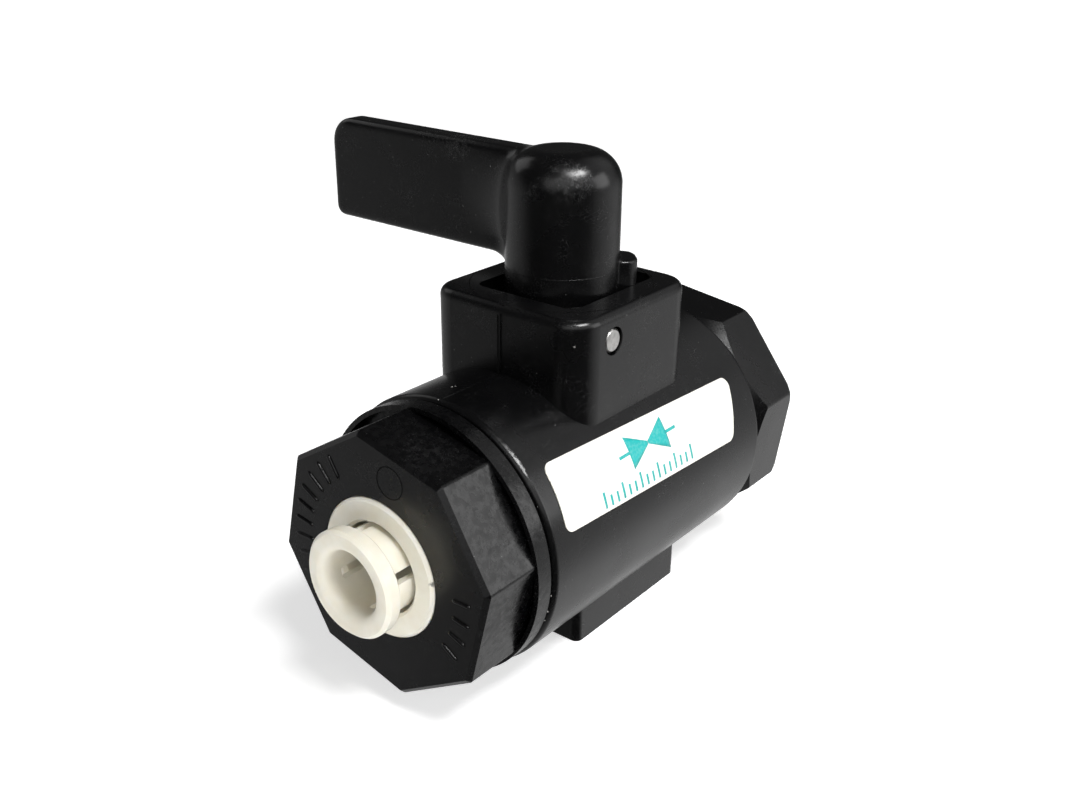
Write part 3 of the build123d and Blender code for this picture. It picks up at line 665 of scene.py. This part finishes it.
BODY_SCUFFS = (                     # place, inner and outer radius, and amount
    ((-9.4, -7.8, BOSS_LEVEL - 0.2), 0.3, 1.6, 0.25),
    ((-10.6, -7.2, FLOW_HEIGHT + 12.3), 0.3, 2.0, 0.16),
    ((-17.6, -8.5, FLOW_HEIGHT + 11.4), 0.6, 3.0, 0.14))
CAP_SCUFFS = (
    ((-24.0, -12.3, FLOW_HEIGHT + 6.0), 1.0, 4.5, 0.35),
    ((-24.5, -4.0, FLOW_HEIGHT + 13.0), 1.0, 4.0, 0.3))
LEVER_SCUFFS = (
    ((-4.0, -3.8, BOSS_LEVEL + 11.8), 0.6, 2.6, 0.8),
    ((-5.2, -0.6, BOSS_LEVEL + 10.6), 0.2, 1.2, 0.7),
    ((-1.4, 13.0, BOSS_LEVEL + 13.2), 0.6, 3.0, 0.55))
LEVER_WRINKLES = (((0.1, -5.9, BOSS_LEVEL + 7.4), 0.3, 1.5, 1.0),)
CAP_MOTTLE = 3.0
CAP_MOTTLE_START = CAP_FACE + 0.3
RING_NICKS = (((CAP_FACE - 0.2, -7.1, FLOW_HEIGHT + 1.1), 0.1, 0.5, 1.0),)
PIN_COLOR = (0.72, 0.71, 0.69, 1.0)
PIN_ROUGHNESS = 0.3
TOOTH_COLOR = (0.62, 0.61, 0.58, 1.0)
TOOTH_ROUGHNESS = 0.22


class VALVE_OT_black_pieces(bpy.types.Operator):
    """Finish the body, the cap and the lever in satin black plastic"""

    bl_idname = "valve.black_pieces"
    bl_label = "Black pieces"

    def execute(self, context):
        dress(black_plastic("body_black", scuffs=BODY_SCUFFS), "valve_body")
        dress(black_plastic("cap_black", scuffs=CAP_SCUFFS, mottle=CAP_MOTTLE, mottle_from=CAP_MOTTLE_START),
              "end_cap")
        lever = black_plastic("lever_black", scuffs=LEVER_SCUFFS, wrinkles=LEVER_WRINKLES)
        dress(lever, "handle_stem")
        blended_lever(lever)
        return {"FINISHED"}


class VALVE_OT_white_pieces(bpy.types.Operator):
    """Finish the collets and their rings in warm white plastic"""

    bl_idname = "valve.white_pieces"
    bl_label = "White pieces"

    def execute(self, context):
        dress(white_plastic("collet_white"), "collet_front", "collet_rear")
        dress(white_plastic("ring_white", nicks=RING_NICKS), "cartridge_front", "cartridge_rear")
        return {"FINISHED"}


class VALVE_OT_metal_pieces(bpy.types.Operator):
    """Finish the pin and the grip teeth in steel"""

    bl_idname = "valve.metal_pieces"
    bl_label = "Metal pieces"

    def execute(self, context):
        dress(steel("pin_steel", PIN_COLOR, PIN_ROUGHNESS), "stem_pin")
        dress(steel("tooth_steel", TOOTH_COLOR, TOOTH_ROUGHNESS), "grip_teeth_front", "grip_teeth_rear")
        return {"FINISHED"}


class VALVE_OT_inner_pieces(bpy.types.Operator):
    """Finish the ball, its seats and all seals"""

    bl_idname = "valve.inner_pieces"
    bl_label = "Ball, seats and seals"

    def execute(self, context):
        seals = [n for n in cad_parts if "seal" in n]
        dress(plain_material("seal_rubber"), *seals)
        dress(plain_material("seat_white"), "seat_front", "seat_rear")
        dress(ball_plastic("ball_dark"), "ball")
        return {"FINISHED"}


SYMBOL = (7.6, -1.4, 3.3, 1.75)     # arc height, station, half length and half height of the valve symbol
SYMBOL_NECK = 0.16                  # half height of its neck and of the two pipe ends
SYMBOL_GAP = 0.02                   # half the gap between its two halves
SYMBOL_PIPE = 1.7
DASHES = 16
DASH_START = -10.4
DASH_STEP = 1.02
DASH_WIDTH = 0.32
DASH_HEIGHT = 3.9                   # arc height of their feet, which changes along the row by the slope
DASH_SLOPE = -0.03
DASH_TALL = 1.65                    # every third one is tall
DASH_SHORT = 1.1


def valve_symbol():
    """Patches of the valve symbol: two triangles point to point, with a short pipe at each end."""
    middle, centre, half, height = SYMBOL
    neck = (middle - SYMBOL_NECK, middle + SYMBOL_NECK)
    low = (middle - height, neck[0])
    high = (middle + height, neck[1])
    return [print_patch(centre - half, centre - SYMBOL_GAP, low, high),
            print_patch(centre + SYMBOL_GAP, centre + half, low[::-1], high[::-1]),
            print_patch(centre - half - SYMBOL_PIPE, centre - half, neck[:1] * 2, neck[1:] * 2),
            print_patch(centre + half, centre + half + SYMBOL_PIPE, neck[:1] * 2, neck[1:] * 2)]


def dash_row():
    """Patches of the row of dashes."""
    patches = []
    for k in range(DASHES):
        left = DASH_START + k * DASH_STEP
        low = DASH_HEIGHT + DASH_SLOPE * (left - DASH_START)
        high = low + (DASH_TALL if k % 3 == 0 else DASH_SHORT)
        patches.append(print_patch(left, left + DASH_WIDTH, (low, low), (high, high), rows=3))
    return patches


class VALVE_OT_label_pieces(bpy.types.Operator):
    """Finish the sticker and print a plain valve symbol and a row of dashes on it"""

    bl_idname = "valve.label_pieces"
    bl_label = "Sticker and print"

    def execute(self, context):
        dress(label_film("label_white"), "label")
        ink = print_ink("print_teal")
        loops_mesh("label_symbol", valve_symbol() + dash_row(), ink, "housing")
        return {"FINISHED"}


BARREL_TOP = FLOW_HEIGHT + BARREL_RADIUS
SEAM_START = BARREL_FRONT + 0.6
SEAM_END = 19.4
SEAM_POINTS = 40
BOSS_FRONT = -10.16                 # the boss's two ends at the seam
BOSS_REAR = 10.16
BOSS_SEAM_TOP = BOSS_LEVEL - 0.8     # where the boss's own seams end below its rounded edge
BOSS_SEAM_BOLD = 2.2                # their width and height as a share of the barrel's
BOSS_CIRCLE = 9.52                  # witness circle of the boss's top about the stem
BOSS_ARC = 21.0                     # degrees from the axes to where its arcs run off the flat
ARC_POINTS = 40
HUB_RADIUS = 5.9
HUB_LINE = 39.3                     # height of the lever's parting line on its hub
HUB_POINTS = 96
CAP_MARK = (-1.95, FLOW_HEIGHT + 9.6)       # round mark on the cap's face, across and up
CAP_MARK_RADIUS = 1.6
MARK_POINTS = 48
CAP_RIBS = (                        # rows of ribs: first and last angle, count, radius and length
    (-22.0, 58.0, 9, 10.4, 2.6),
    (178.0, 212.0, 4, 10.4, 2.2))
RIB_WIDTH = 0.42
RIB_POINTS = 14
ROUND_END = 8                       # power of the taper that rounds the ends of ribs and arcs


def seam(start, end, outward, width, height):
    """Straight parting line that stands out of a face."""
    path = straight_path(start, end, SEAM_POINTS)
    return ridge(path, np.broadcast_to(outward, path.shape), width, height)


def ridge_ring(path, outward, width, height):
    """Ridge along a closed path: the path is carried on past both ends, so that its direction is true
    there."""
    closed = np.concatenate([path[-1:], path, path[:1]])
    around = np.concatenate([outward[-1:], outward, outward[:1]])
    return ridge(closed, around, width, height)[1:-1]


def barrel_seams(width, height):
    """Parting lines along the barrel's top, before and behind the boss."""
    return [seam((start, 0.0, BARREL_TOP), (end, 0.0, BARREL_TOP), Z, width, height)
            for start, end in ((SEAM_START, BOSS_FRONT), (BOSS_REAR, SEAM_END))]


def boss_seams(width, height):
    """Parting lines up the boss's front and rear face."""
    return [seam((end, 0.0, BARREL_TOP), (end, 0.0, BOSS_SEAM_TOP), side,
                 BOSS_SEAM_BOLD * width, BOSS_SEAM_BOLD * height)
            for end, side in ((BOSS_FRONT, -X), (BOSS_REAR, X))]


def boss_circle(width, height):
    """Four arcs of the witness circle on the boss's top, one a corner."""
    centre = np.array([0.0, 0.0, BOSS_LEVEL])
    arcs = []
    for start in (0, 90, 180, 270):
        path = circle_path(centre, X, Y, BOSS_CIRCLE, ARC_POINTS, start + BOSS_ARC, start + 90 - BOSS_ARC)
        arcs.append(ridge(path, np.broadcast_to(Z, path.shape), width, height, taper=ROUND_END))
    return arcs


def hub_flash(width, height):
    """Parting line round the lever's hub."""
    centre = np.array([0.0, 0.0, HUB_LINE])
    path = circle_path(centre, X, Y, HUB_RADIUS, HUB_POINTS)
    return ridge_ring(path, (path - centre) / HUB_RADIUS, width, height)


def cap_circle(width, height):
    """Round mark on the cap's face."""
    path = circle_path(np.array([CAP_FACE, *CAP_MARK]), Y, Z, CAP_MARK_RADIUS, MARK_POINTS)
    return ridge_ring(path, np.broadcast_to(-X, path.shape), width, height)


def cap_ribs(height):
    """Short radial ribs on the cap's face, at even angles about the flow axis in each row."""
    ribs = []
    for first, last, count, radius, length in CAP_RIBS:
        for angle in np.radians(np.linspace(first, last, count)):
            outward = np.cos(angle) * Y + np.sin(angle) * Z
            middle = CAP_FACE * X + FLOW_HEIGHT * Z + radius * outward
            path = straight_path(middle - length / 2 * outward, middle + length / 2 * outward, RIB_POINTS)
            ribs.append(ridge(path, np.broadcast_to(-X, path.shape), RIB_WIDTH, height, taper=ROUND_END))
    return ribs


DIRT_SEED = 7
GAP_CRUMBS = 60
GAP_STATION = BARREL_FRONT - 0.05
GAP_ANGLE = (-125, 26)              # middle and spread of their angles in degrees
GAP_RADIUS = (13.5, 13.95)
CRUMB_SIZES = (0.03, 0.09)
CRUMB_SQUASH = (0.9, 1.0, 1.0)
PALE_CHIPS = (                      # place, size and squash of single pale chips
    ((-9.15, -8.62, 34.92), 0.09, (1.0, 1.0, 1.0)),
    ((-15.5, 1.34, BARREL_TOP - 0.06), 0.1, (1.9, 0.5, 0.6)),
    ((-15.2, 1.15, BARREL_TOP - 0.05), 0.08, (0.6, 1.6, 0.6)),
    ((-18.5, 0.3, BARREL_TOP - 0.1), 0.07, (1.8, 1.2, 0.6)),
    ((-18.3, -1.6, BARREL_TOP - 0.16), 0.06, (1.2, 2.0, 0.5)))
SEAM_FLECKS = 16
FLECK_STATIONS = (-5.0, 0.6)        # range along Y
FLECK_MIDDLE = BOSS_FRONT + 0.45
FLECK_SPREAD = (-0.25, 0.45)
FLECK_HEIGHT = BOSS_LEVEL - 0.05
FLECK_SIZES = (0.03, 0.08)
FLECK_SQUASH = (1.0, 1.6, 0.35)


def gap_crumbs(rng):
    """Crumbs of dirt in the gap between the cap's flange and the barrel, most of them low on the near
    side."""
    angle = np.radians(rng.normal(*GAP_ANGLE, GAP_CRUMBS))
    radius = rng.uniform(*GAP_RADIUS, GAP_CRUMBS)
    sizes = rng.uniform(*CRUMB_SIZES, GAP_CRUMBS)
    return [crumb((GAP_STATION, r * np.cos(a), FLOW_HEIGHT + r * np.sin(a)), size, CRUMB_SQUASH, rng)
            for a, r, size in zip(angle, radius, sizes)]


def boss_flecks(rng):
    """Dark flecks along the front edge of the boss's top."""
    along = rng.uniform(*FLECK_STATIONS, SEAM_FLECKS)
    across = rng.uniform(*FLECK_SPREAD, SEAM_FLECKS)
    sizes = rng.uniform(*FLECK_SIZES, SEAM_FLECKS)
    return [crumb((FLECK_MIDDLE + x, y, FLECK_HEIGHT), size, FLECK_SQUASH, rng)
            for x, y, size in zip(across, along, sizes)]


class VALVE_OT_mould_marks(bpy.types.Operator):
    """Add the parting lines, the round marks and ribs of the moulds, and the dirt and chips"""

    bl_idname = "valve.mould_marks"
    bl_label = "Mould marks"

    def execute(self, context):
        marks = context.scene.valve_marks
        line = (marks.seam_width / MM, marks.seam_height / MM)
        body, lever, cap = (bpy.data.materials[n] for n in ("body_black", "lever_black", "cap_black"))
        dark = plain_material("seam_black")
        pale = plain_material("dirt_pale")
        loops_mesh("seam_barrel", barrel_seams(*line), body, "housing")
        loops_mesh("seam_boss", boss_seams(*line), dark, "housing")
        loops_mesh("boss_arcs", boss_circle(*line), dark, "housing")
        loops_mesh("hub_line", [hub_flash(*line)], lever, "lever", ring=True)
        loops_mesh("cap_mark", [cap_circle(*line)], dark, "housing", ring=True)
        loops_mesh("cap_ribs", cap_ribs(marks.tick_height / MM), cap, "housing")
        rng = np.random.default_rng(DIRT_SEED)
        chips = gap_crumbs(rng) + [crumb(*chip, rng) for chip in PALE_CHIPS]
        loops_mesh("gap_dirt", chips, pale, "housing")
        loops_mesh("seam_flecks", boss_flecks(rng), dark, "housing")
        return {"FINISHED"}


FLOOR_RINGS = (0.05, 0.3, 1.0, 2.0, 3.0)    # metres, the last one the floor's edge
WALL_ROUND = 1.2                    # radius of the quarter circle that joins floor and wall
WALL_HEIGHT = 4.0
WALL_ROWS = 16
FLOOR_COLUMNS = 96
ROOM_PATCHES = (                    # direction in degrees, inner and outer spread in degrees, and brightness
    (-42, -24, 12, 46, 0.58),
    (-18, -44, 6, 30, 0.38),
    (0, -90, 10, 42, 0.45),
    (-24, 38, 8, 34, 0.4),
    (40, -32, 12, 36, 0.8),
    (104, -18, 8, 46, 0.38))
LAMP_DISTANCE = 0.6                 # metres from the valve
LAMPS = (                           # name, azimuth and elevation, width and height, and share of the key
    ("top_lamp", -101, 58, 0.26, 0.15, 14.0),
    ("window_left", -158, 29, 0.44, 0.34, 0.5),
    ("window_middle", -108, 26, 0.68, 0.3, 0.35),
    ("window_right", -60, 20, 0.34, 0.34, 1.2),
    ("back_window", 88, 34, 0.34, 0.26, 0.35))
CAMERA_AZIMUTH = -51.568            # degrees
CAMERA_ELEVATION = 23.943
CAMERA_ROLL = 0.559
CAMERA_ACROSS = -1.917              # where the camera stands, along its own axes
CAMERA_UP = 21.353
CAMERA_BACK = 136.908
CLIP_NEAR = 0.005                   # metres
CLIP_FAR = 10


class VALVE_OT_stage(bpy.types.Operator):
    """Set up the pale floor, the soft lights and the camera at the photograph's angle"""

    bl_idname = "valve.stage"
    bl_label = "Studio"

    def execute(self, context):
        stage = context.scene.valve_stage
        make_floor()
        make_room_light(stage.sky_strength)
        for name, azimuth, elevation, width, height, share in LAMPS:
            area_light(name, azimuth, elevation, width, height, share * stage.key_radiance)
        make_camera(stage.lens)
        return {"FINISHED"}


def make_floor():
    """Flat pale floor, and a pale wall all round that rises from its edge by a quarter circle and then runs
    straight up. The wall closes the view of a low camera and gives the valve no light of its own."""
    material = floor_material("floor_pale")
    rings = np.array(FLOOR_RINGS)
    turned_surface("floor", rings, np.zeros_like(rings), material, filled=True)
    lift = np.radians(np.linspace(0, 90, WALL_ROWS))
    radius = rings[-1] + WALL_ROUND * np.append(np.sin(lift), 1)
    height = np.append(WALL_ROUND * (1 - np.cos(lift)), WALL_HEIGHT)
    wall = turned_surface("wall", radius, height, material, filled=False)
    wall.visible_diffuse = False


def turned_surface(name, radius, height, material, filled):
    """Profile (radius, height) in metres turned about the upright axis, facing the valve. A filled one has
    a flat round face inside its first ring."""
    turn = np.linspace(0, -2 * np.pi, FLOOR_COLUMNS, endpoint=False)
    points = np.stack([radius[:, None] * np.cos(turn), radius[:, None] * np.sin(turn),
                       height[:, None] + 0 * turn], -1).reshape(-1, 3)
    faces = grid_faces(len(radius), FLOOR_COLUMNS).tolist()
    if filled:
        faces.append(list(range(FLOOR_COLUMNS))[::-1])
    mesh = bpy.data.meshes.new(name)
    mesh.from_pydata(points.tolist(), [], faces)
    mesh.shade_smooth()
    mesh.materials.append(material)
    thing = bpy.data.objects.new(name, mesh)
    bpy.context.scene.collection.objects.link(thing)
    thing.visible_glossy = False
    return thing


def make_room_light(strength):
    """Dim room: an even light, and pale patches below where the gloss of the black plastic sees the
    surroundings."""
    world = bpy.data.worlds.new("room")
    g = Graph(world, "Generated")
    light = strength
    for azimuth, elevation, inner, outer, amount in ROOM_PATCHES:
        light = g.math("ADD", light, g.window(azimuth, elevation, inner, outer, amount))
    background = g.add("ShaderNodeBackground", {"Color": (1.0, 1.0, 1.0, 1.0), "Strength": light})
    g.add("ShaderNodeOutputWorld", {"Surface": background.outputs["Background"]})
    bpy.context.scene.world = world


def area_light(name, azimuth, elevation, width, height, radiance):
    """Oblong lamp that looks at the valve's middle, given by its direction from there. Its power is its
    brightness times its area and pi."""
    data = bpy.data.lights.new(name, "AREA")
    data.shape = "RECTANGLE"
    data.size = width
    data.size_y = height
    data.energy = radiance * math.pi * width * height
    lamp = bpy.data.objects.new(name, data)
    bpy.context.scene.collection.objects.link(lamp)
    turn, lift = math.radians(azimuth), math.radians(elevation)
    outward = Vector((math.cos(turn) * math.cos(lift), math.sin(turn) * math.cos(lift), math.sin(lift)))
    lamp.location = Vector((0, 0, FLOW_HEIGHT * MM)) + LAMP_DISTANCE * outward
    lamp.rotation_euler = (-outward).to_track_quat("-Z", "Y").to_euler()
    lamp.visible_camera = False


def make_camera(lens):
    """Camera at the photograph's angle and distance, for a picture of 1080 by 810."""
    azimuth, elevation, roll = (math.radians(a) for a in (CAMERA_AZIMUTH, CAMERA_ELEVATION, CAMERA_ROLL))
    back = Vector((math.sin(azimuth) * math.cos(elevation), -math.cos(azimuth) * math.cos(elevation),
                   math.sin(elevation)))
    level = Vector((math.cos(azimuth), math.sin(azimuth), 0))
    upright = back.cross(level)
    right = math.cos(roll) * level + math.sin(roll) * upright
    up = math.cos(roll) * upright - math.sin(roll) * level
    place = (CAMERA_ACROSS * right + CAMERA_UP * up + CAMERA_BACK * back) * MM
    data = bpy.data.cameras.new("camera")
    data.lens = lens
    data.clip_start = CLIP_NEAR
    data.clip_end = CLIP_FAR
    camera = bpy.data.objects.new("camera", data)
    bpy.context.scene.collection.objects.link(camera)
    camera.matrix_world = Matrix.Translation(place) @ Matrix((right, up, back)).transposed().to_4x4()
    bpy.context.scene.camera = camera
    bpy.context.scene.view_settings.view_transform = "Standard"


class VALVE_PT_sidebar(bpy.types.Panel):
    """Tab of the 3D view's sidebar"""

    bl_idname = "VALVE_PT_sidebar"
    bl_label = "Ball valve"
    bl_space_type = "VIEW_3D"
    bl_region_type = "UI"
    bl_category = "Valve"

    def draw(self, context):
        for operator in OPERATORS:
            self.layout.operator(operator.bl_idname)
        for group in (context.scene.valve_finish, context.scene.valve_marks, context.scene.valve_stage):
            for name in group.__annotations__:
                self.layout.prop(group, name)


GROUPS = {"valve_finish": ValveFinish, "valve_marks": ValveMarks, "valve_stage": ValveStage}
OPERATORS = (VALVE_OT_black_pieces, VALVE_OT_white_pieces, VALVE_OT_metal_pieces, VALVE_OT_inner_pieces,
             VALVE_OT_label_pieces, VALVE_OT_mould_marks, VALVE_OT_stage)


def register():
    for name, group in GROUPS.items():
        bpy.utils.register_class(group)
        setattr(bpy.types.Scene, name, bpy.props.PointerProperty(type=group))
    for kind in OPERATORS + (VALVE_PT_sidebar,):
        bpy.utils.register_class(kind)


def unregister():
    for kind in reversed(OPERATORS + (VALVE_PT_sidebar,)):
        bpy.utils.unregister_class(kind)
    for name, group in GROUPS.items():
        delattr(bpy.types.Scene, name)
        bpy.utils.unregister_class(group)


def main():
    register()
    for operator in OPERATORS:
        group, name = operator.bl_idname.split(".")
        getattr(getattr(bpy.ops, group), name)()


if __name__ == "__main__":
    main()
